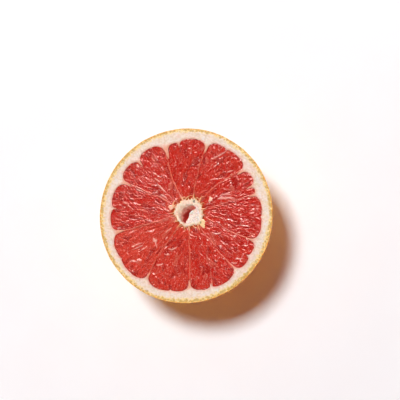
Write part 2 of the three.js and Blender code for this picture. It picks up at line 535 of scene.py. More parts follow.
class Skin:
    """Points and triangles of one closed piece, and values that its material reads at the points."""

    def __init__(self):
        self.places = []
        self.values = {}
        self.triangles = []
        self.count = 0

    def add(self, places, **values):
        """Adds points with their values, and returns the points' numbers."""
        numbers = np.arange(self.count, self.count + len(places))
        self.places.append(np.asarray(places, float))
        for name, value in values.items():
            held = self.values.setdefault(name, [])
            held.append((numbers, np.broadcast_to(value, len(places))))
        self.count += len(places)
        return numbers

    def loop(self, outline, height, **values):
        """Adds a loop of points, given on the cut face and by their height."""
        height = np.broadcast_to(height, len(outline))
        return self.add(np.c_[outline, height], **values)

    def cover(self, rows):
        """Fills a grid of points."""
        a, b = rows[:-1, :-1].ravel(), rows[1:, :-1].ravel()
        c, d = rows[1:, 1:].ravel(), rows[:-1, 1:].ravel()
        self.triangles += [np.c_[a, b, c], np.c_[a, c, d]]

    def bridge(self, one, other, ahead=0.0):
        """Joins two loops of any numbers of points. The other starts so many of its steps ahead."""
        ahead -= 1e-6
        ratio = len(other) / len(one)
        step, far = np.arange(len(one)), np.arange(len(other))
        tip = np.floor((step + 0.5) * ratio - ahead + 0.5).astype(int) % len(other)
        foot = np.ceil((far + 0.5 + ahead) / ratio - 0.5).astype(int) % len(one)
        self.triangles.append(np.c_[one, np.roll(one, -1), other[tip]])
        self.triangles.append(np.c_[one[foot], np.roll(other, -1), other])

    def grow(self, last, outline, height, **values):
        """Adds a loop of points and joins it to the last one."""
        ring = self.loop(outline, height, **values)
        self.bridge(last, ring)
        return ring

    def hang(self, numbers, rings):
        """Joins the rings of a bowl and closes it at its lowest point."""
        for row, (one, other) in enumerate(zip(rings, rings[1:])):
            ahead = -0.5 * len(other) / len(one) if row % 2 else 0.5
            self.bridge(numbers[one], numbers[other], ahead)
        self.fan(numbers[rings[-1]], numbers[-1])
        return numbers[rings[0]]

    def fan(self, loop, middle):
        """Closes a loop with triangles about a point."""
        self.triangles.append(np.c_[loop, np.roll(loop, -1), np.full(len(loop), middle)])

    def tube(self, rings, start, end):
        """Joins rings of points, each with its values, and closes both ends with theirs."""
        last = None
        for ring, values in rings:
            numbers = self.add(ring, **values)
            if last is None:
                self.fan(numbers, self.add([np.mean(ring, axis=0)], **start)[0])
            else:
                self.bridge(last, numbers)
            last = numbers
        self.fan(last, self.add([np.mean(ring, axis=0)], **end)[0])

    def make(self, name, material):
        """Makes the piece: smooth, facing outwards, riding on the fruit's one body."""
        places = np.concatenate(self.places) * MM
        triangles = np.concatenate(self.triangles).astype(np.int32)
        mesh = bpy.data.meshes.new(name)
        mesh.vertices.add(len(places))
        mesh.vertices.foreach_set("co", places.astype(np.float32).ravel())
        mesh.loops.add(triangles.size)
        mesh.loops.foreach_set("vertex_index", triangles.ravel())
        mesh.polygons.add(len(triangles))
        mesh.polygons.foreach_set("loop_start", np.arange(0, triangles.size, 3, dtype=np.int32))
        mesh.update(calc_edges=True)
        for label, parts in self.values.items():
            value = np.zeros(len(places), np.float32)
            for numbers, held in parts:
                value[numbers] = held
            mesh.attributes.new(label, "FLOAT", "POINT").data.foreach_set("value", value)
        work = bmesh.new()
        work.from_mesh(mesh)
        bmesh.ops.recalc_face_normals(work, faces=work.faces)
        open_edges = sum(1 for edge in work.edges if not edge.is_manifold)
        work.to_mesh(mesh)
        work.free()
        if open_edges:
            raise RuntimeError(f"{name} has {open_edges} edges that are not closed")
        mesh.polygons.foreach_set("use_smooth", np.ones(len(mesh.polygons), bool))
        mesh.materials.append(material)
        piece = bpy.data.objects.new(name, mesh)
        bpy.context.scene.collection.objects.link(piece)
        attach(piece, "root")
        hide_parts(NODE)
        print(f"{name}: {len(triangles)} triangles")
        return piece


# ---------------------------------------------------------------------------------------------
# Materials
# ---------------------------------------------------------------------------------------------


class Nodes:
    """Adds nodes to a tree and links them."""

    def __init__(self, tree):
        self.tree = tree

    def add(self, kind, *inputs, **settings):
        """Adds a node with its settings, and feeds its first inputs."""
        node = self.tree.nodes.new("ShaderNode" + kind)
        for name, setting in settings.items():
            setattr(node, name, setting)
        for socket, value in zip(node.inputs, inputs):
            self.feed(socket, value)
        return node

    def feed(self, socket, value):
        """Links an output to a socket, or sets the socket to a plain value."""
        if isinstance(value, bpy.types.NodeSocket):
            self.tree.links.new(value, socket)
        elif isinstance(value, tuple) and len(value) == 3 and socket.type == "RGBA":
            socket.default_value = (*value, 1)
        else:
            socket.default_value = value

    def math(self, operation, a, b):
        """Two values in one sum."""
        return self.add("Math", a, b, operation=operation).outputs[0]

    def times(self, a, b):
        """Two values multiplied."""
        return self.math("MULTIPLY", a, b)

    def remap(self, value, low, high, to_low=0.0, to_high=1.0):
        """Value's way from low to high, eased, as a way from to_low to to_high."""
        node = self.add("MapRange", value, low, high, to_low, to_high, interpolation_type="SMOOTHSTEP")
        return node.outputs[0]

    def mix(self, share, a, b, kind="MIX"):
        """Colour a with a share of colour b in it."""
        node = self.add("Mix", data_type="RGBA", blend_type=kind)
        for socket, value in (("Factor", share), (6, a), (7, b)):
            self.feed(node.inputs[socket], value)
        return node.outputs[2]

    def paint(self, base, *coats):
        """A colour with coats of others over it, each given by its share and its colour."""
        for share, shade in coats:
            base = self.mix(share, base, shade)
        return base


class Finish(Nodes):
    """A material's node tree, with its shader."""

    def __init__(self, name, **shader_values):
        self.material = bpy.data.materials.new(name)
        self.material.use_nodes = True
        super().__init__(self.material.node_tree)
        self.tree.nodes.clear()
        self.shader = self.add("BsdfPrincipled")
        self.add("OutputMaterial", self.shader.outputs[0])
        for socket, value in shader_values.items():
            self.shader.inputs[socket.replace("_", " ")].default_value = value
        self.place = self.add("TexCoord").outputs["Object"]

    def value(self, name):
        """A value that the mesh holds at its points."""
        return self.add("Attribute", attribute_name=name).outputs["Fac"]

    def where(self, name, low, high, to_low=0.0, to_high=1.0):
        """A held value's way from low to high, as a way from to_low to to_high."""
        return self.remap(self.value(name), low, high, to_low, to_high)

    def noise(self, place, scale, detail):
        """Plain noise at a place."""
        node = self.add("TexNoise")
        for socket, value in (("Vector", place), ("Scale", scale), ("Detail", detail)):
            self.feed(node.inputs[socket], value)
        return node.outputs["Fac"]

    def cloud(self, size, detail=2.0):
        """Noise whose patches are about size millimetres wide."""
        return self.noise(self.place, 1 / (size * MM), detail)

    def vary(self, size, detail, low, high, to_low=0.0, to_high=1.0):
        """A cloud whose values from low to high become those from to_low to to_high."""
        return self.remap(self.cloud(size, detail), low, high, to_low, to_high)

    def cells(self, size):
        """Distance to the middle of cells about size millimetres wide."""
        node = self.add("TexVoronoi", self.place)
        node.inputs["Scale"].default_value = 1 / (size * MM)
        return node.outputs["Distance"]

    def grain(self, length, width, apart):
        """Noise drawn out along each juice sac."""
        along = self.math("DIVIDE", self.value("grain_u"), length)
        across = self.math("DIVIDE", self.value("grain_v"), width)
        return self.noise(self.add("CombineXYZ", along, across, apart).outputs[0], 1.0, 2.0)

    def streak(self, length, width, apart, low, high, most):
        """Streaks along each juice sac, where its grain rises from low to high."""
        return self.remap(self.grain(length, width, apart), low, high, 0.0, most)

    def relief(self, height, depth, over=None):
        """A bump of so many millimetres."""
        node = self.add("Bump")
        node.inputs["Strength"].default_value = 1.0
        node.inputs["Distance"].default_value = depth * MM
        self.feed(node.inputs["Height"], height)
        if over is not None:
            self.feed(node.inputs["Normal"], over)
        return node.outputs[0]

    def done(self, base, roughness, normal):
        """Feeds the shader, and returns the finished material."""
        for socket, value in (("Base Color", base), ("Roughness", roughness), ("Normal", normal)):
            self.feed(self.shader.inputs[socket], value)
        return self.material


def pith_colour(skin, pith):
    """Cream with paler, browner and pinker mottles."""
    return skin.paint(
        tuple(pith.cream),
        (skin.vary(1.3, 4.0, 0.36, 0.64), colour(234, 208, 182)),
        (skin.vary(2.4, 3.0, 0.45, 0.68, 0, 0.8), colour(246, 230, 219)),
        (skin.vary(3.1, 2.0, 0.5, 0.7, 0, 0.4), colour(246, 206, 194)),
    )


def rind_material(rind, pith):
    """Yellow to orange wax-glossed rind outside, and its golden edge where it is cut."""
    skin = Finish("grapefruit_rind", Coat_Weight=0.2, Coat_Roughness=0.3, Specular_IOR_Level=0.35)
    outside = skin.paint(
        tuple(rind.yellow),
        (skin.vary(70, 1.5, 0.36, 0.64), tuple(rind.orange)),
        (skin.where("blush", 0.1, 1.0, 0, 0.5), tuple(rind.blush)),
    )
    mottled = skin.vary(2.6, 4.0, 0.35, 0.7, 0.0, 0.4)
    outside = skin.mix(mottled, outside, skin.mix(0.6, outside, colour(244, 190, 82)))
    dark = skin.mix(1.0, outside, colour(214, 176, 140), "MULTIPLY")
    pores = skin.cells(1.08)
    outside = skin.paint(
        outside,
        (skin.remap(pores, 0.16, 0.38, 0.8, 0.0), dark),
        (skin.where("gland", 0.2, 0.9, 0.35, 0.0), dark),
        (skin.value("scar"), colour(140, 98, 58)),
    )
    inward = skin.math("ADD", skin.value("inward"), skin.vary(1.2, 3.0, 0.3, 0.7, -0.9, 0.9))
    blotches = skin.vary(1.8, 2.5, 0.50, 0.62, 0.0, 0.65)
    edge = skin.paint(
        colour(236, 160, 62),
        (skin.remap(inward, 0.0, 0.5), colour(250, 202, 116)),
        (skin.remap(inward, 0.4, 1.6), colour(252, 222, 154)),
        (skin.remap(inward, 1.4, 2.9), colour(244, 216, 174)),
        (skin.remap(inward, 2.3, 3.4), pith_colour(skin, pith)),
        (skin.times(skin.value("opened"), 0.65), tuple(rind.cut_glands)),
        (skin.times(blotches, skin.remap(inward, 1.6, 3.0, 1.0, 0.0)), colour(206, 164, 78)),
    )
    base = skin.mix(skin.value("cut"), outside, edge)
    rough = skin.vary(0.7, 3.0, 0.3, 0.7, 0.36, 0.5)
    fine = skin.relief(skin.cells(0.5), 0.02)
    outer = skin.math("SUBTRACT", 1.0, skin.value("cut"))
    pores = skin.times(skin.remap(pores, 0.1, 0.5), outer)
    sponge = skin.times(skin.cloud(0.9, 4.0), skin.value("cut"))
    return skin.done(base, rough, skin.relief(skin.math("ADD", pores, sponge), 0.10, fine))


def pith_material(pith):
    """Spongy cream pith that turns pink beside the flesh."""
    skin = Finish(
        "grapefruit_pith",
        Subsurface_Weight=0.3,
        Subsurface_Radius=(1.0, 0.6, 0.4),
        Subsurface_Scale=1.2 * MM,
        Specular_IOR_Level=0.15,
    )
    beside = skin.math("ADD", skin.value("beside"), skin.vary(1.6, 2.0, 0.3, 0.7, -0.35, 0.35))
    base = skin.paint(
        pith_colour(skin, pith),
        (skin.remap(beside, 0.0, 1.5, 0.85, 0.0), tuple(pith.pink)),
        (skin.times(skin.value("tip"), 0.8), colour(238, 158, 124)),
        (skin.where("outward", 0.9, 0.0, 0.0, 0.5), colour(244, 214, 160)),
    )
    rough = skin.vary(1.0, 2.0, 0.3, 0.7, 0.5, 0.7)
    sponge = skin.relief(skin.cells(0.42), 0.06)
    return skin.done(base, rough, skin.relief(skin.cloud(0.9, 4.0), 0.12, sponge))


def core_material():
    """White spongy core, pinker and darker down its hollow: partly juice stain, partly painted shade.
    """
    skin = Finish(
        "grapefruit_core",
        Subsurface_Weight=0.35,
        Subsurface_Radius=(1.0, 0.6, 0.45),
        Subsurface_Scale=1.0 * MM,
        Specular_IOR_Level=0.15,
    )
    down = skin.math("ADD", skin.value("down"), skin.vary(2.0, 2.0, 0.3, 0.7, -0.8, 0.8))
    white = skin.mix(skin.vary(0.8, 3.0, 0.35, 0.65), colour(254, 238, 228), colour(240, 208, 194))
    crest = skin.where("down", 0.6, 0.05, 0.0, 0.7)
    crest = skin.times(crest, skin.vary(1.8, 2.0, 0.35, 0.65, 0.3, 1.0))
    base = skin.paint(
        colour(252, 228, 204),
        (skin.vary(0.9, 3.0, 0.35, 0.7), colour(246, 208, 178)),
        (crest, colour(253, 229, 207)),
        (skin.times(skin.vary(1.5, 3.0, 0.52, 0.66, 0.0, 0.6), crest), colour(232, 178, 146)),
        (skin.value("tuft"), white),
        # Pinker, then dark red down the hollow: partly juice stain, partly painted shade.
        (skin.remap(down, 0.7, 3.2, 0.0, 0.85), colour(248, 164, 146)),
        (skin.remap(down, 2.5, 5.2), colour(186, 64, 54)),
        (skin.value("spur"), colour(248, 200, 142)),
        # Painted shade: grey-brown in the small pit in the rim.
        (skin.where("pit", 0.1, 0.8, 0.0, 0.9), colour(140, 112, 100)),
    )
    rough = skin.vary(0.8, 2.0, 0.3, 0.7, 0.45, 0.65)
    sponge = skin.relief(skin.cells(0.5), 0.09)
    return skin.done(base, rough, skin.relief(skin.cloud(0.8, 4.0), 0.15, sponge))


def membrane_material(pith):
    """Thin moist walls, orange-pink inside and cream where they meet the pith."""
    skin = Finish(
        "grapefruit_membrane",
        Coat_Weight=0.5,
        Coat_Roughness=0.15,
        Subsurface_Weight=0.3,
        Subsurface_Radius=(1.0, 0.4, 0.25),
        Subsurface_Scale=0.8 * MM,
    )
    along = skin.math("ADD", skin.value("along"), skin.vary(2.2, 2.0, 0.3, 0.7, -0.06, 0.06))
    base = skin.paint(
        tuple(pith.membrane),
        (skin.remap(along, 0.85, 0.99), tuple(pith.pink)),
        (skin.remap(along, 0.06, 0.0), colour(242, 166, 122)),
        (skin.where("weak", 0.0, 0.5, 0.0, 0.8), colour(206, 66, 48)),
        (skin.vary(0.9, 3.0, 0.4, 0.65, 0, 0.7), colour(210, 74, 52)),
        (skin.where("deep", 0.25, 1.2), colour(196, 60, 44)),
    )
    rough = skin.vary(0.6, 2.0, 0.3, 0.7, 0.3, 0.5)
    return skin.done(base, rough, skin.relief(skin.cloud(0.5, 3.0), 0.05))


def flesh_material(flesh):
    """Wet juice sacs: translucent reds, paler skins, streaks along each sac, painted shade and painted
    glints.
    """
    skin = Finish(
        "grapefruit_flesh",
        Coat_Weight=0.9,
        Coat_Roughness=0.08,
        Coat_IOR=1.38,
        Subsurface_Weight=0.2,
        Subsurface_Radius=(1.0, 0.22, 0.14),
        Subsurface_Scale=1.2 * MM,
        Specular_IOR_Level=0.04,
    )
    tone = skin.value("tone")
    patches = skin.vary(7.0, 3.0, 0.35, 0.68)
    shown = skin.times(skin.vary(1.8, 2.0, 0.48, 0.66, 0.0, 0.6), skin.value("flank"))
    fold = skin.vary(0.7, 2.0, 0.3, 0.6, 0.65, 1.0)
    base = skin.paint(
        tuple(flesh.deep),
        (skin.where("inner", 9.0, 0.5), tuple(flesh.bright)),
        (skin.times(patches, 0.5), tuple(flesh.bright)),
        (skin.value("pale"), colour(236, 96, 72)),
        (skin.remap(tone, 0.55, 1.0, 0.0, 0.4), colour(204, 62, 44)),
        (skin.remap(tone, 0.40, 0.0, 0.0, 0.7), colour(150, 16, 16)),
        (skin.remap(tone, 0.955, 0.985, 0.0, 0.4), colour(218, 122, 100)),
        (skin.streak(2.2, 0.7, 0, 0.5, 0.72, 0.4), colour(214, 84, 62)),
        (skin.streak(1.8, 0.8, 40, 0.52, 0.70, 0.55), colour(156, 10, 10)),
        # Pale dashes: partly pale sac skin, partly painted glints.
        (skin.streak(1.5, 0.45, 20, 0.64, 0.70, 0.75), colour(246, 164, 142)),
        # Painted glints: small pale pink specks.
        (skin.streak(0.9, 0.42, 60, 0.62, 0.68, 0.85), colour(252, 176, 160)),
        (skin.streak(1.1, 0.5, 100, 0.60, 0.68, 0.6), colour(168, 16, 14)),
        (skin.times(skin.where("wall", 0.05, 0.22, 1.0, 0.0), shown), tuple(flesh.sac_wall)),
        # Pale raised folds: partly torn sac skin, partly painted highlight.
        (skin.times(skin.value("fold_and_glint"), fold), colour(252, 188, 170)),
        # Painted shade: darker red along the flesh's edge, where it dips beside the pith.
        (skin.times(skin.where("edge", 0.0, 1.1, 0.6, 0.0), patches), colour(136, 14, 18)),
        # Painted shade: orange-brown in the dips of the flesh around the core.
        (skin.where("inner", 2.3, 0.1, 0.0, 0.9), colour(178, 72, 24)),
    )
    skin.feed(skin.shader.inputs["Coat Weight"], skin.where("wall", 0.0, 0.22, 0.3, 0.9))
    rough = skin.vary(0.9, 2.0, 0.3, 0.7, 0.25, 0.45)
    along = skin.relief(skin.grain(1.5, 0.5, 80), 0.045)
    pulp = skin.relief(skin.cloud(0.5, 2.0), 0.025, along)
    return skin.done(base, rough, skin.relief(skin.cloud(1.1, 2.0), 0.09, pulp))


def thread_material():
    """Cream threads, orange where the juice has soaked in."""
    skin = Finish("grapefruit_threads", Coat_Weight=0.5, Coat_Roughness=0.2)
    base = skin.paint(
        colour(250, 200, 148),
        (skin.vary(0.7, 3.0, 0.35, 0.7), colour(242, 152, 90)),
        (skin.where("far", 0.5, 1.0), colour(226, 112, 72)),
    )
    rough = skin.vary(0.5, 2.0, 0.3, 0.7, 0.35, 0.5)
    return skin.done(base, rough, skin.relief(skin.cloud(0.4, 3.0), 0.05))


def seed_material():
    """Cream seed coats with darker grain, and painted shade in the flake's dent."""
    skin = Finish("grapefruit_seed", Coat_Weight=0.3, Coat_Roughness=0.25)
    base = skin.paint(
        colour(253, 197, 166),
        (skin.vary(0.9, 3.0, 0.35, 0.7), colour(244, 164, 132)),
        (skin.times(skin.value("flake"), 0.8), colour(254, 220, 156)),
        # Painted shade: dark olive in the flake's dent.
        (skin.where("dent", 0.1, 0.8, 0.0, 0.85), colour(132, 112, 62)),
    )
    rough = skin.vary(0.5, 2.0, 0.3, 0.7, 0.35, 0.55)
    return skin.done(base, rough, skin.relief(skin.cloud(0.4, 3.0), 0.06))


# ---------------------------------------------------------------------------------------------
# Operators
# ---------------------------------------------------------------------------------------------


class GRAPEFRUIT_OT_make_rind(bpy.types.Operator):
    """Make the rind, with its dimpled outside and its cut edge"""

    bl_idname = "grapefruit.make_rind"
    bl_label = "Make rind"
    bl_options = {"REGISTER", "UNDO"}

    spacing = 0.5
    rim_rows = 15

    def execute(self, context):
        settings = context.scene.grapefruit
        rind = settings.rind
        chance = np.random.default_rng(settings.stage.seed)
        skin = Skin()
        last = self.outside(skin, rind, chance)
        angle = around(COLUMNS)
        thickness = rind.thickness / MM
        opened_at, opened_size = self.opened_glands(chance)
        rim_inset = uneven(deep(flat(angle, CUT_RADIUS)) + (0, 0, HEIGHT))
        broad = 1 + 0.22 * waver(angle, 17, 4) + 0.16 * waver(angle, 5, 5) + 0.12 * waver(angle, 1.2, 6)
        for share in np.linspace(0, 1, self.rim_rows):
            inward = 0.12 + share * (thickness + 0.4)
            outline = flat(angle, CUT_RADIUS - inward - rim_inset * (1 - share))
            pit = self.pits(outline, opened_at, opened_size)
            height = cut_height(outline) - 0.14 * pit - 0.05 * smooth((inward - thickness + 0.2) / 0.6)
            last = skin.grow(last, outline, height, cut=1, inward=inward / broad, opened=pit)
        inner = CUT_RADIUS - thickness - 0.5
        last = skin.grow(last, flat(angle, inner), HEIGHT - 1, cut=1)
        depth = POLE_HEIGHT - thickness - 1
        places, rings = bowl(COLUMNS // 4, inner, depth, HEIGHT - 2, HIDDEN_SPACING)
        places[:, 2] = np.maximum(places[:, 2], thickness)
        skin.bridge(last, skin.hang(skin.add(places), rings))
        skin.make("rind", rind_material(rind, settings.pith))
        return {"FINISHED"}

    def outside(self, skin, rind, chance):
        """The outside, down to the flat spot that it rests on."""
        places, rings = bowl(COLUMNS, CUT_RADIUS, POLE_HEIGHT, HEIGHT, self.spacing)
        down = (HEIGHT - places[:, 2])[:, None]
        out = np.c_[places[:, :2], np.zeros(len(places))]
        normal = out / CUT_RADIUS**2 - np.c_[np.zeros((len(places), 2)), down / POLE_HEIGHT**2]
        normal /= np.linalg.norm(normal, axis=1)[:, None]
        glands = self.glands(rind.gland_spacing / MM, chance)
        near, which = nearest(glands, places)
        size = chance.uniform(0.8, 1.15, len(glands))[which]
        depth = chance.uniform(0.6, 1.3, len(glands))[which] * rind.gland_depth / MM
        dimple = depth * np.maximum(1 - (near / size) ** 2, 0) ** 1.5
        fade = smooth((HEIGHT - places[:, 2]) / 1.2)
        places = places - normal * (dimple * fade + uneven(places))[:, None]
        radius = np.hypot(places[:, 0], places[:, 1])
        scar = smooth((2.4 - radius) / 0.9) * (places[:, 2] < 5)
        lift = 0.25 * smooth((3.0 - radius) / 2.0) + 0.5 * dimple
        floor = 0.02 + np.where(radius < REST_RADIUS + 1, lift, 0)
        low = places[:, 2]
        ease = 0.12
        rested = np.log(np.exp(low / ease) + np.exp(floor / ease)) * ease
        places[:, 2] = np.where(low < 1, rested, low)
        places[:, 2] -= 0.02 * (places[:, 2] < 1)
        places[rings[0], 2] = HEIGHT - 0.12
        # Blush in broad patches, stronger towards +X and -Y, the side away from the key light.
        lower_right = (places[:, 0] - places[:, 1]) / CUT_RADIUS
        blush = smooth(0.35 + 0.5 * drift(places, 60, 13) + 0.3 * lower_right)
        return skin.hang(skin.add(places, gland=near / size, blush=blush, scar=0.8 * scar), rings)

    def glands(self, spacing, chance):
        """Even but irregular places of the oil glands over the outside."""
        area = 2 * np.pi * CUT_RADIUS * (CUT_RADIUS + 2 * POLE_HEIGHT) / 3
        count = int(area / (spacing**2 * PACKING))
        step = np.arange(count) + 0.5
        lean = np.arccos(1 - step / count)
        turn = step * math.pi * (3 - math.sqrt(5))
        reach = CUT_RADIUS * np.sin(lean)
        places = np.c_[flat(turn, reach), HEIGHT - POLE_HEIGHT * np.cos(lean)]
        return places + chance.normal(0, spacing * 0.24, places.shape)

    def opened_glands(self, chance):
        """Places and sizes of the glands that the cut has opened."""
        angle = []
        turn = 0.0
        while turn < 2 * np.pi:
            angle.append(turn)
            turn += chance.uniform(0.6, 1.9) / CUT_RADIUS
        angle = np.array(angle)
        inward = chance.uniform(0.5, 1.9, len(angle))
        return flat(angle, CUT_RADIUS - inward), chance.uniform(0.3, 0.9, len(angle))

    def pits(self, outline, opened_at, opened_size):
        """How much of a pit there is at each point of a loop on the cut."""
        near, which = nearest(deep(opened_at), deep(outline))
        return smooth((opened_size[which] * 1.25 - near) / 0.35)


class GRAPEFRUIT_OT_make_pith(bpy.types.Operator):
    """Make the bowl of white pith inside the rind"""

    bl_idname = "grapefruit.make_pith"
    bl_label = "Make pith"
    bl_options = {"REGISTER", "UNDO"}

    def execute(self, context):
        settings = context.scene.grapefruit
        skin = Skin()
        thickness = settings.rind.thickness / MM
        angle = around(COLUMNS)
        outer = CUT_RADIUS - thickness + 0.4
        inner = flesh_edge(angle)
        depth = POLE_HEIGHT - thickness - 1.05
        places, rings = bowl(COLUMNS // 4, outer, depth, HEIGHT - 2, HIDDEN_SPACING)
        places[:, 2] = np.maximum(places[:, 2], thickness + 0.05)
        last = skin.loop(flat(angle, outer), HEIGHT - 1)
        skin.bridge(skin.hang(skin.add(places), rings), last)
        shares = np.concatenate([np.linspace(0, 0.96, 24), [0.985, 1.0]])
        for share in shares:
            radius = outer + share * (inner - outer)
            outline = flat(angle, radius)
            edge = 0.10 * smooth((share - 0.95) / 0.05)
            edge = edge + 0.05 * smooth((radius - CUT_RADIUS + thickness + 0.2) / 0.6)
            last = skin.grow(
                last,
                outline,
                cut_height(outline) - edge,
                beside=np.maximum(-off_edge(outline), 0),
                outward=outer - radius,
                tip=smooth((45.6 - radius) / 3.2),
            )
        for drop, back in ((0.5, 0.0), (1.2, 0.1), (3.5, 0.3)):
            last = skin.grow(last, flat(angle, inner + back), HEIGHT - drop, outward=5, tip=1)
        radius, depth = BOWL_RADIUS + 0.1, BOWL_DEPTH + 0.5
        places, rings = bowl(COLUMNS // 4, radius, depth, BOWL_TOP, HIDDEN_SPACING)
        skin.bridge(last, skin.hang(skin.add(places, outward=5), rings))
        skin.make("pith", pith_material(settings.pith))
        return {"FINISHED"}


class GRAPEFRUIT_OT_make_core(bpy.types.Operator):
    """Make the open, spongy core with its spurs and threads"""

    bl_idname = "grapefruit.make_core"
    bl_label = "Make core"
    bl_options = {"REGISTER", "UNDO"}

    columns = 480
    rim_rows = 18
    wall_rows = 44
    floor_rows = 8
    depth = 13
    thread_rings = 22
    thread_points = 10

    def execute(self, context):
        skin = Skin()
        angle = around(self.columns)
        star = core_edge(angle)
        ring = core_edge(angle, spurs=False)
        plain = 7.2
        middle = skin.add([[*CORE_CENTRE, HEIGHT - self.depth]])[0]
        last = skin.loop(flat(angle, plain * 0.4, CORE_CENTRE), HEIGHT - self.depth)
        skin.fan(last, middle)
        for radius, drop in ((plain, 11), (plain, 4), (star - 0.3, 2.2), (star, 1)):
            spur = 0.9 * smooth((radius - ring) / 1.5)
            last = skin.grow(last, flat(angle, radius, CORE_CENTRE), HEIGHT - drop, spur=spur)
        broad = np.exp(-((turned(angle - math.radians(72)) / 0.75) ** 2))
        mouth = ring - 1.25 - 1.5 * broad + 0.5 * waver(angle, 1.5, 33, CORE_RADIUS)
        for share in np.linspace(0, 1, self.rim_rows):
            radius = star + share * (mouth - star)
            spur = smooth((radius - ring + 0.5) / 1.2)
            outline = flat(angle, radius, CORE_CENTRE)
            crest = math.sin(math.pi * min(0.12 + share * 0.7, 1)) ** 0.4
            rough = 0.10 * (1 + crumble(outline, 0.9, 62))
            rough = rough + 0.12 * broad * (1 + drift(outline, 1.1, 64)) * share
            pit = self.pit(outline)
            height = HEIGHT - 0.05 - 0.45 * (1 - crest) - rough - 0.35 * spur - 1.5 * pit
            last = skin.grow(last, outline, height, spur=spur * 0.9, down=0.0, pit=pit)
        self.hollow(skin, angle, flat(angle, mouth, CORE_CENTRE), height, last)
        skin.make("core", core_material())
        threads = Skin()
        for number, (start, bend, end, half) in enumerate(THREADS):
            threads.tube(self.thread(start, bend, end, half, number), {}, {"far": 1})
        threads.make("threads", thread_material())
        return {"FINISHED"}

    def pit(self, outline):
        """The small pit in the rim's upper side."""
        from_pit = (outline - (5.4, 8.0)) / (0.45, 0.9)
        return np.exp(-((from_pit**2).sum(axis=1) ** 2))

    def slot(self, angle):
        """Outline of the hollow's bent deep part."""
        lean = math.radians(55)
        along = np.array([math.cos(lean), math.sin(lean)])
        aside = np.array([-along[1], along[0]])
        way = angle - lean
        u = 5.1 * np.cos(way) - 0.2
        upper = 2.35 - 0.06 * (u + 0.3) ** 2
        lower = 1.85 * np.exp(-(((u - 0.6) / 2.7) ** 2)) - 0.85
        side = np.sign(np.sin(way)) * np.abs(np.sin(way)) ** 0.6
        v = (upper + lower) / 2 + side * (upper - lower) / 2
        return np.array([2.6, 0.5]) + u[:, None] * along + v[:, None] * aside

    def hollow(self, skin, angle, mouth, rim_height, last):
        """The hollow's wall: a steep side, and a lumpy white tuft at the lower right."""
        slot = self.slot(angle)
        tuft = smooth((facing(angle, 334) + 0.02) / 0.42)
        shelf_end = 0.9 - 0.35 * smooth((facing(angle, 45) - 0.75) / 0.2)
        ledge = smooth((facing(angle, 38) - 0.55) / 0.3)
        upper_left = smooth((facing(angle, 140) - 0.2) / 0.7)
        steep = 1.5 - 0.3 * smooth(0.5 + 0.5 * facing(angle, 215)) + 0.9 * ledge + 0.8 * upper_left
        shallow = 1 - 0.38 * smooth(0.5 + 0.5 * facing(angle, 62))
        for share in 1 - np.linspace(1, 0, self.wall_rows)[1:] ** 1.35:
            outline = mouth + share * (slot - mouth)
            shelf = 0.15 + 1.0 * share**1.6 + 5.4 * smooth((share - shelf_end) / (1 - shelf_end))
            slope = 0.1 + 6.4 * share**steep
            fall = (tuft * shelf + (1 - tuft) * slope) * (1 - share**2 * (1 - shallow))
            at = np.c_[outline, -fall]
            lumps = 0.5 * creased(at, 1.9, 71) + 0.28 * creased(at, 0.9, 72) - 0.2
            sponge = 0.32 * crumble(at * (1, 1, 0.5), 1.4, 77) + 0.16 * drift(at, 0.6, 79)
            rise = (tuft * lumps + (1 - tuft) * sponge) * smooth(share / 0.12)
            pit = self.pit(outline)
            height = np.minimum(HEIGHT - 0.15 - fall + rise, rim_height + 0.05) - 1.5 * pit
            white = tuft * smooth(share / 0.15)
            last = skin.grow(last, outline, height, down=fall - rise, tuft=white, pit=pit)
        for share in np.linspace(0, 1, self.floor_rows + 1)[1:]:
            outline = slot + share * (slot.mean(axis=0) - slot) * 0.85
            drop = 6.6 * shallow * (1 - share) + (8.3 - 1.4 * (1 - shallow)) * share
            height = HEIGHT - drop + 0.3 * crumble(deep(outline), 1.6, 78)
            last = skin.grow(last, outline, height, down=drop)
        skin.fan(last, skin.add([[*outline.mean(axis=0), HEIGHT - 8.1]], down=8.1)[0])

    def thread(self, start, bend, end, half, number):
        """Rings of one curved thread, thin at its far end."""
        line = arc(start, bend, end, self.thread_rings)
        line = line + 0.22 * np.c_[drift(line, 1.3, 200 + number), drift(line, 1.3, 300 + number)]
        across = crossways(line)
        turn = around(self.thread_points)
        rings = []
        for n in range(self.thread_rings):
            share = n / (self.thread_rings - 1)
            thick = half * (1.9 - 1.0 * share) * (1 + 0.25 * drift(line[n : n + 1], 0.7, 400)[0])
            lift = HEIGHT - 0.36 - 0.10 * share + 0.10 * math.sin(math.pi * share)
            sides = line[n] + across[n] * (thick * np.cos(turn))[:, None]
            ring = np.c_[sides, np.minimum(lift + thick * np.sin(turn), HEIGHT - 0.03)]
            rings.append((ring, {"far": share}))
        return rings


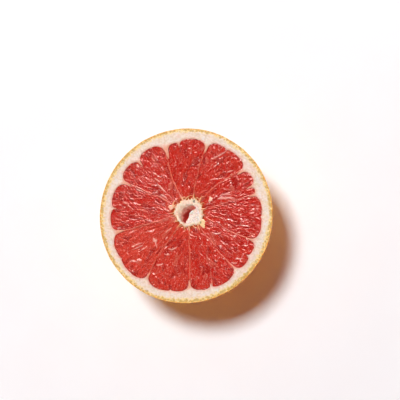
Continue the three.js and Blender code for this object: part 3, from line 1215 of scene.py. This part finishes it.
class GRAPEFRUIT_OT_make_membranes(bpy.types.Operator):
    """Make the twelve thin walls between the segments"""

    bl_idname = "grapefruit.make_membranes"
    bl_label = "Make membranes"
    bl_options = {"REGISTER", "UNDO"}

    points = 150
    side = ((-1, 2.6), (-1, 1.2), (-1, 0.5), (-0.85, 0.16), (-0.4, 0.02))
    section = (*side, *((-aside, drop) for aside, drop in reversed(side)))

    def execute(self, context):
        settings = context.scene.grapefruit
        skin = Skin()
        for membrane in MEMBRANES:
            rings = self.wall(membrane, settings.pith.membrane_width / MM / 2)
            skin.tube(rings, {"deep": 1}, {"along": 1, "deep": 1})
        skin.make("membranes", membrane_material(settings.pith))
        return {"FINISHED"}

    def wall(self, membrane, half):
        """Rings of one wall, from the core out to the pith."""
        shows = membrane[3]
        line, across = membrane_line(membrane, self.points)
        share = np.linspace(0, 1, self.points)
        length = np.linalg.norm(line[-1] - line[0])
        from_pith = (1 - share) * length
        flare = 0.30 * np.exp(-np.maximum(from_pith - 4, 0) / 1.6)
        root = 0.20 * np.exp(-share * length / 1.2)
        ragged = 1 + 0.55 * crumble(line, 1.9, 81)
        slender = 0.72 + 0.28 * smooth(share * length / 9)
        width = (half * (0.6 + 0.45 * shows) * slender + flare + root) * ragged
        weak = (1 - shows) * smooth(share * length / 3) * smooth(from_pith / 6 - 0.4)
        weak = np.clip(weak * (1 + 0.9 * drift(line, 5.0, 84)), 0, 1)
        sunk = 0.07 + 0.09 * (1 + crumble(line, 3.0, 83)) + 0.5 * weak
        sunk = sunk + 0.6 * smooth(-off_edge(line) / 0.3)
        asides, drops = np.transpose(self.section)
        rings = []
        for n in range(self.points):
            sides = line[n] + across[n] * asides[:, None] * width[n]
            ring = np.c_[sides, HEIGHT - sunk[n] - drops]
            rings.append((ring, {"along": share[n], "deep": drops, "weak": weak[n]}))
        return rings


class GRAPEFRUIT_OT_make_segments(bpy.types.Operator):
    """Make the twelve segments out of their juice sacs"""

    bl_idname = "grapefruit.make_segments"
    bl_label = "Make segments"
    bl_options = {"REGISTER", "UNDO"}

    rows = 140
    coarse = 10
    column_angle = 0.22

    def execute(self, context):
        settings = context.scene.grapefruit
        material = flesh_material(settings.flesh)
        for number in range(len(MEMBRANES)):
            self.segment(settings, number, material)
        return {"FINISHED"}

    def segment(self, settings, number, material):
        """Makes one segment: its cut flesh on top, and a plain wedge below."""
        edges = [MEMBRANES[number], MEMBRANES[(number + 1) % len(MEMBRANES)]]
        wide = math.degrees(turned(math.radians(edges[1][0] - edges[0][0])))
        columns = self.coarse * max(6, round(wide / (self.coarse * self.column_angle)))
        places, share = self.field(edges, columns)
        chance = np.random.default_rng([settings.stage.seed, number])
        sacs = self.sacs(settings.flesh, edges, wide, chance)
        height, values = self.relief(settings.flesh, places, share, sacs, chance)
        values["pale"] = SEGMENT_PALENESS[number]
        skin = Skin()
        grid = self.rows + 1, columns + 1
        rows = skin.add(np.c_[places, height], **values).reshape(grid)
        skin.cover(rows)
        rim = self.border(np.arange(rows.size).reshape(grid))
        under = np.minimum(height[rim] - 0.8, HEIGHT - 1.4)
        below = skin.loop(places[rim], under, edge=0, wall=1)
        skin.bridge(self.border(rows), below)
        centre = flat(math.radians(edges[0][0] + wide / 2), 27.0)
        coarse = places.reshape(*grid, 2)[:: self.coarse, :: self.coarse].reshape(-1, 2)
        coarse = centre + (coarse - centre) * 0.985
        round_share = np.maximum(1 - (np.hypot(*coarse.T) / BOWL_RADIUS) ** 2, 0)
        bottom = np.maximum(BOWL_TOP - BOWL_DEPTH * np.sqrt(round_share), 4)
        floor = skin.add(np.c_[coarse, bottom], wall=1)
        floor = floor.reshape(self.rows // self.coarse + 1, columns // self.coarse + 1)
        skin.bridge(below, self.border(floor))
        skin.cover(floor)
        skin.make(f"segment_{number + 1:02d}", material)

    def border(self, rows):
        """The grid's outer points, once round."""
        return np.concatenate([rows[0, :-1], rows[:-1, -1], rows[-1, :0:-1], rows[:0:-1, 0]])

    def field(self, edges, columns):
        """Grid points between two membranes, from the core out to a little way under the pith."""
        across = np.linspace(0, 1, columns + 1)
        across = across - 0.09 * np.sin(2 * np.pi * across)
        on_line = np.linspace(0, 1, 200)
        bows = []
        for edge in edges:
            line, _ = membrane_line(edge, len(on_line))
            bows.append(line - (line[0] + (line[-1] - line[0]) * on_line[:, None]))
        pith = np.radians([edges[0][0], edges[1][0]])
        core = np.radians([edges[0][1], edges[1][1]])
        outer_angle = pith[0] + across * turned(pith[1] - pith[0])
        inner_angle = core[0] + across * turned(core[1] - core[0])
        outer = flat(outer_angle, flesh_edge(outer_angle) + 0.45)
        inner = flat(inner_angle, core_edge(inner_angle) - 0.35, CORE_CENTRE)
        share = np.linspace(0, 1, self.rows + 1)
        share = share + 0.035 * np.sin(2 * np.pi * share)
        places = []
        for part in share:
            bend = [[np.interp(part, on_line, bow[:, axis]) for axis in (0, 1)] for bow in bows]
            bend = (1 - across)[:, None] * bend[0] + across[:, None] * bend[1]
            places.append(inner + (outer - inner) * part + bend)
        return np.concatenate(places), np.tile(across, self.rows + 1)

    def sacs(self, flesh, edges, wide, chance):
        """Places, directions and sizes of a segment's juice sacs."""
        length, width = flesh.sac_length / MM, flesh.sac_width / MM
        middle = math.radians(edges[0][0] + wide / 2)
        forward = np.array([math.cos(middle), math.sin(middle)])
        aside = np.array([-forward[1], forward[0]])
        half = math.tan(math.radians(wide / 2 + 6)) * 50 + 3
        found = []
        x, row = 2.0, 0
        while x < 54:
            step = length * (0.80 - 0.36 * smooth((x - 25) / 14))
            for y in np.arange(-half, half, width * 0.98):
                if abs(y) > half * (x + 8) / 50:
                    continue
                jitter = chance.normal(0, 1, 2) * (step * 0.42, width * 0.26)
                found.append((x + jitter[0], y + (row % 2) * width * 0.5 + jitter[1]))
            x, row = x + step, row + 1
        found = np.array(found)
        lean = math.radians(chance.uniform(-12, 12))
        fan = np.arctan2(found[:, 1], np.maximum(found[:, 0], 6)) * 1.25
        swirl = 0.55 * drift(found, 9, int(chance.integers(1000)))
        turn = middle + lean + fan + swirl + chance.normal(0, 0.24, len(found))
        near_rim = smooth((found[:, 0] - 28) / 14)
        sizes = np.c_[length * (1 - 0.5 * near_rim), width * (1 + 0.1 * near_rim)]
        sizes = sizes * chance.uniform(0.72, 1.3, (len(found), 1)) / 2
        return found @ np.stack([forward, aside]), turn, sizes

    def relief(self, flesh, places, share, sacs, chance):
        """Height of the cut flesh, and what its material reads."""
        at, turn, sizes = sacs
        wall, flank, owner = self.sac_walls(places, at, turn, sizes)
        count = len(at)
        swell = flesh.sac_swell / MM
        kind = chance.uniform(0, 1, count)
        full = (kind > 0.38)[owner]
        bulge = (swell * chance.uniform(0.45, 1.0, count))[owner]
        along, across = in_line(places - at[owner], turn[owner])
        apart = chance.uniform(0, 400, count)[owner]
        grain = np.c_[along + apart, across + apart * 0.7]
        pillow = 1 - (1 - np.clip(wall / 0.65, 0, 1)) ** 2
        ridge = np.exp(-((wall / 0.13) ** 2)) * smooth(0.5 + 1.2 * drift(places, 1.6, 98))
        hollow = smooth(wall / 0.5)
        height = np.where(full, bulge * pillow - 0.10 * ridge, 0.10 * ridge - 0.5 * bulge * hollow)
        height += chance.normal(0, 0.07, count)[owner]
        tilt = chance.normal(0, 1, (count, 2))[owner] * (0.03, 0.11)
        height += np.clip(along * tilt[:, 0] + across * tilt[:, 1], -0.2, 0.2) * smooth(wall / 0.3)
        wrinkles = creased(grain / (2.2, 0.6), 1.0, 93)
        height += 0.05 * wrinkles * smooth(wall / 0.25)
        height += 0.12 * drift(places, 6.5, 91)
        height += 0.10 * drift(grain / (1.7, 1.2), 1.0, 97) * smooth(wall / 0.3)
        height += 0.08 * drift(grain / (0.95, 0.7), 1.0, 99) * smooth(wall / 0.3)
        fold = fold_and_glint(places)
        height += 0.22 * fold
        beads = self.beads(places, at, turn, chance)
        side = np.minimum(share, 1 - share) * np.maximum(np.hypot(*places.T), 6) * 0.5
        height -= 0.20 * np.exp(-side / 0.5)
        out = off_edge(places)
        height -= 1.2 * smooth(-out / 0.35)
        height -= (0.12 + 0.14 * drift(places, 2.2, 94)) * np.exp(-((np.maximum(out, 0) / 0.4) ** 1.5))
        inner = np.maximum(off_core(places), 0)
        dent = 0.6 + 0.5 * drift(places, 1.9, 95)
        height -= 1.2 * dent * np.exp(-((inner / 1.5) ** 2))
        height += beads * smooth(out / 0.8) * smooth(side / 0.5) * smooth(inner / 1.5)
        height = HEIGHT + np.minimum(height - 0.48, -0.02)
        values = {
            "wall": wall,
            "flank": smooth((flank - 0.5) / 0.4),
            "tone": chance.uniform(0, 1, count)[owner],
            "grain_u": grain[:, 0],
            "grain_v": grain[:, 1],
            # edge and inner also set where the material paints shade: along the pith and in the dips
            # around the core.
            "edge": np.clip(out, 0, 5),
            "fold_and_glint": fold,
            "inner": np.clip(inner, 0, 9),
        }
        return height, values

    def beads(self, places, at, turn, chance):
        """Height of the beads and dashes of juice that stand on the cut sacs."""
        count = len(at)
        home = chance.integers(0, count, count)
        middle = at[home] + chance.normal(0, 1.3, (count, 2))
        length = np.where(chance.uniform(0, 1, count) < 0.4, chance.uniform(0.9, 1.6, count), 0.62)
        width = chance.uniform(0.45, 0.65, count)
        lean = turn[home] + chance.normal(0, 0.35, count)
        _, which = nearest(deep(middle), deep(places))
        along, across = in_line(places - middle[which], lean[which])
        along, across = along / length[which], across / width[which]
        return 0.27 * width[which] * np.maximum(1 - along**2 - across**2, 0)

    def sac_walls(self, places, at, turn, sizes):
        """Distance to the nearest wall between two sacs, and the sac that each point belongs to."""
        tree = search_tree(deep(at))
        many = min(16, len(at))
        near = np.array([[f[1] for f in tree.find_n(place, many)] for place in deep(places)])
        apart = places[:, None, :] - at[near]
        along, across = in_line(apart, turn[near])
        along, across = along / sizes[near, 0], across / sizes[near, 1]
        far = np.hypot(along, across) + 1e-6
        slope = np.stack([along / sizes[near, 0] / far, across / sizes[near, 1] / far], -1)
        slope = np.stack(in_line(slope, -turn[near]), -1)
        pair = np.argsort(far, axis=1)[:, :2]
        far = np.take_along_axis(far, pair, axis=1)
        slope = np.take_along_axis(slope, pair[..., None], axis=1)
        apart = slope[:, 1] - slope[:, 0]
        steep = np.linalg.norm(apart, axis=1) + 0.15
        owner = np.take_along_axis(near, pair, axis=1)[:, 0]
        flank = np.abs(in_line(apart, turn[owner])[1]) / steep
        return (far[:, 1] - far[:, 0]) / steep, flank, owner


class GRAPEFRUIT_OT_make_seeds(bpy.types.Operator):
    """Make the small undeveloped seeds that lie near the core"""

    bl_idname = "grapefruit.make_seeds"
    bl_label = "Make seeds"
    bl_options = {"REGISTER", "UNDO"}

    points = 40
    rings = 24

    def execute(self, context):
        settings = context.scene.grapefruit
        skin = Skin()
        for number, seed in enumerate(SEEDS):
            skin.tube(self.seed(number, *seed), {}, {})
        skin.make("seeds", seed_material())
        return {"FINISHED"}

    def seed(self, number, x, y, length, width, thick, direction, pointed):
        """Rings of one seed, blunt at its start."""
        angle = around(self.points)
        rings = []
        turn = math.radians(direction)
        ways = np.array([[math.cos(turn), math.sin(turn)], [-math.sin(turn), math.cos(turn)]])
        for share in np.linspace(0.01, 0.985, self.rings):
            belly = min(1, share / 0.25) ** 0.5 * (1 - share) ** pointed
            ring = np.c_[
                np.full(self.points, (share - 0.5) * length),
                np.cos(angle) * width / 2 * belly * 1.25,
                np.sin(angle) * thick / 2 * belly,
            ]
            ring[:, 1:] *= (1 + 0.2 * crumble(ring + number * 9, 0.9, 101))[:, None]
            places = np.c_[ring[:, :2] @ ways + (x, y), ring[:, 2] + HEIGHT - 0.42]
            # The flake's dent, which the material darkens as painted shade.
            dent = np.exp(-(((places[:, 0] - 9.5) / 0.5) ** 2) - ((places[:, 1] + 4.7) / 0.9) ** 2)
            places[:, 2] = np.minimum(places[:, 2], HEIGHT - 0.02) - 0.35 * dent * (angle < np.pi)
            rings.append((places, {"dent": dent, "flake": float(number == 2)}))
        return rings


class GRAPEFRUIT_OT_make_stage(bpy.types.Operator):
    """Make the floor, the lights and the camera"""

    bl_idname = "grapefruit.make_stage"
    bl_label = "Make stage"
    bl_options = {"REGISTER", "UNDO"}

    walls = (0.36, 0.11, 0.07)
    horizon = (0.69, 0.33, 0.20)
    ceiling = (0.10, 0.06, 0.05)

    # The lamps that only show as glints: name, place, size and share of their power.
    glints = (
        ("top_strip", (-0.50, 1.90, 1.76), (1.30, 0.16), 0.16),
        ("top_glints", (0.15, 1.85, 1.80), (2.2, 0.6), 1.0),
        ("side_glints", (-1.60, -0.75, 1.80), (1.2, 0.5), 0.10),
    )

    def execute(self, context):
        stage = context.scene.grapefruit.stage
        self.floor(stage)
        self.room(stage)
        self.lights(stage)
        self.camera()
        bpy.context.scene.view_settings.view_transform = "Standard"
        return {"FINISHED"}

    def floor(self, stage):
        """Makes the pale floor, which glows more and more with the distance."""
        mesh = bpy.data.meshes.new("floor")
        side = 3.0
        corners = [(-side, -side, 0), (side, -side, 0), (side, side, 0), (-side, side, 0)]
        mesh.from_pydata(corners, [], [(0, 1, 2, 3)])
        plane = bpy.data.objects.new("floor", mesh)
        plane.location.z = LOW.z - 0.05 * MM
        bpy.context.scene.collection.objects.link(plane)
        skin = Finish("studio_floor", Specular_IOR_Level=0.2)
        shade = skin.mix(skin.vary(40, 2.0, 0.3, 0.7), tuple(stage.floor), colour(254, 252, 251))
        away = skin.add("VectorMath", skin.place, operation="LENGTH").outputs["Value"]
        skin.shader.inputs["Emission Color"].default_value = (1, 1, 1, 1)
        skin.feed(skin.shader.inputs["Emission Strength"], skin.remap(away, 0.13, 0.75, 0.0, 0.9))
        mesh.materials.append(skin.done(shade, 0.6, skin.relief(skin.cloud(2.0), 0.005)))

    def room(self, stage):
        """Makes the room: dim warm walls that light the fruit, behind a white backdrop."""
        world = bpy.data.worlds.new("studio")
        bpy.context.scene.world = world
        world.use_nodes = True
        nodes = Nodes(world.node_tree)
        sky = world.node_tree.nodes["Background"]
        sky.inputs["Strength"].default_value = stage.sky_strength
        way = nodes.add("TexCoord").outputs["Generated"]
        upward = nodes.add("SeparateXYZ", way).outputs["Z"]
        shade = nodes.mix(nodes.remap(upward, 0.15, 0.33, 1.0, 0.0), self.walls, self.horizon)
        shade = nodes.mix(nodes.remap(upward, 0.74, 0.9), shade, self.ceiling)
        seen = nodes.add("LightPath").outputs["Is Camera Ray"]
        white = (1.02 / stage.sky_strength,) * 3
        nodes.feed(sky.inputs["Color"], nodes.mix(seen, shade, white))

    def lights(self, stage):
        """Makes the soft box, the strips that show as glints and the low lamps around the fruit."""
        power = stage.key_power
        key = self.lamp("key", (-0.47, 0.80, 2.60), (0.62, 0.62), power, (0.89, 0.98, 1.04))
        key.visible_glossy = False
        for name, place, size, share in self.glints:
            lamp = self.lamp(name, place, size, power * stage.glints * share, (1.0, 0.90, 0.82))
            lamp.visible_diffuse = False
        for n in range(6):
            turn = math.radians(15 + 60 * n)
            place = (2.2 * math.cos(turn), 2.2 * math.sin(turn), 0.16)
            power_here = power * stage.side_fill
            lamp = self.lamp(f"side_fill_{n + 1}", place, (1.4, 0.2), power_here, (1.0, 0.68, 0.46))
            lamp.visible_glossy = False
            lamp.visible_camera = False

    def lamp(self, name, place, size, power, tint):
        """Makes one lamp that faces the middle of the cut face."""
        light = bpy.data.lights.new(name, "AREA")
        light.shape = "RECTANGLE"
        light.size, light.size_y = size
        light.energy = power
        light.color = tint
        lamp = bpy.data.objects.new(name, light)
        lamp.location = place
        aim = Vector((0, 0, HIGH.z)) - lamp.location
        lamp.rotation_euler = aim.to_track_quat("-Z", "Y").to_euler()
        bpy.context.scene.collection.objects.link(lamp)
        return lamp

    def camera(self):
        """Makes the camera, which looks down on the cut face from a little to one side."""
        data = bpy.data.cameras.new("camera")
        data.lens = 90
        data.sensor_width = 36
        data.clip_start = 0.01
        data.clip_end = 20
        lean, side = math.radians(11.5), math.radians(-35)
        across = math.sin(lean)
        toward = Vector((across * math.cos(side), across * math.sin(side), math.cos(lean)))
        right = Vector((0, 1, 0)).cross(toward).normalized()
        up = toward.cross(right)
        aim = Vector((0, 0, HIGH.z)) + right * 9.0 * MM + up * 8.9 * MM
        place = Matrix((right, up, toward)).transposed().to_4x4()
        place.translation = aim + toward * 0.596
        camera = bpy.data.objects.new("camera", data)
        camera.matrix_world = place
        bpy.context.scene.collection.objects.link(camera)
        bpy.context.scene.camera = camera


class GRAPEFRUIT_PT_panel(bpy.types.Panel):
    """The grapefruit's operators and settings in the sidebar"""

    bl_idname = "GRAPEFRUIT_PT_panel"
    bl_label = "Halved grapefruit"
    bl_space_type = "VIEW_3D"
    bl_region_type = "UI"
    bl_category = "Grapefruit"

    def draw(self, context):
        settings = context.scene.grapefruit
        for group in (settings.rind, settings.pith, settings.flesh, settings.stage):
            box = self.layout.box()
            for name in group.bl_rna.properties.keys():
                if name not in ("rna_type", "name"):
                    box.prop(group, name)
        for operator in OPERATORS:
            self.layout.operator(operator.bl_idname)


OPERATORS = (
    GRAPEFRUIT_OT_make_stage,
    GRAPEFRUIT_OT_make_rind,
    GRAPEFRUIT_OT_make_pith,
    GRAPEFRUIT_OT_make_core,
    GRAPEFRUIT_OT_make_membranes,
    GRAPEFRUIT_OT_make_segments,
    GRAPEFRUIT_OT_make_seeds,
)
CLASSES = (
    RindSettings,
    PithSettings,
    FleshSettings,
    StageSettings,
    GrapefruitSettings,
    *OPERATORS,
    GRAPEFRUIT_PT_panel,
)


def register():
    """Registers the settings, the operators and the panel."""
    for each in CLASSES:
        bpy.utils.register_class(each)
    bpy.types.Scene.grapefruit = PointerProperty(type=GrapefruitSettings)


def unregister():
    """Takes them out again, in the opposite order."""
    del bpy.types.Scene.grapefruit
    for each in reversed(CLASSES):
        bpy.utils.unregister_class(each)


def main():
    """Makes the whole fruit on its stage."""
    register()
    bpy.ops.grapefruit.make_stage()
    bpy.ops.grapefruit.make_rind()
    bpy.ops.grapefruit.make_pith()
    bpy.ops.grapefruit.make_core()
    bpy.ops.grapefruit.make_membranes()
    bpy.ops.grapefruit.make_segments()
    bpy.ops.grapefruit.make_seeds()
    bpy.context.view_layer.update()


if __name__ == "__main__":
    main()
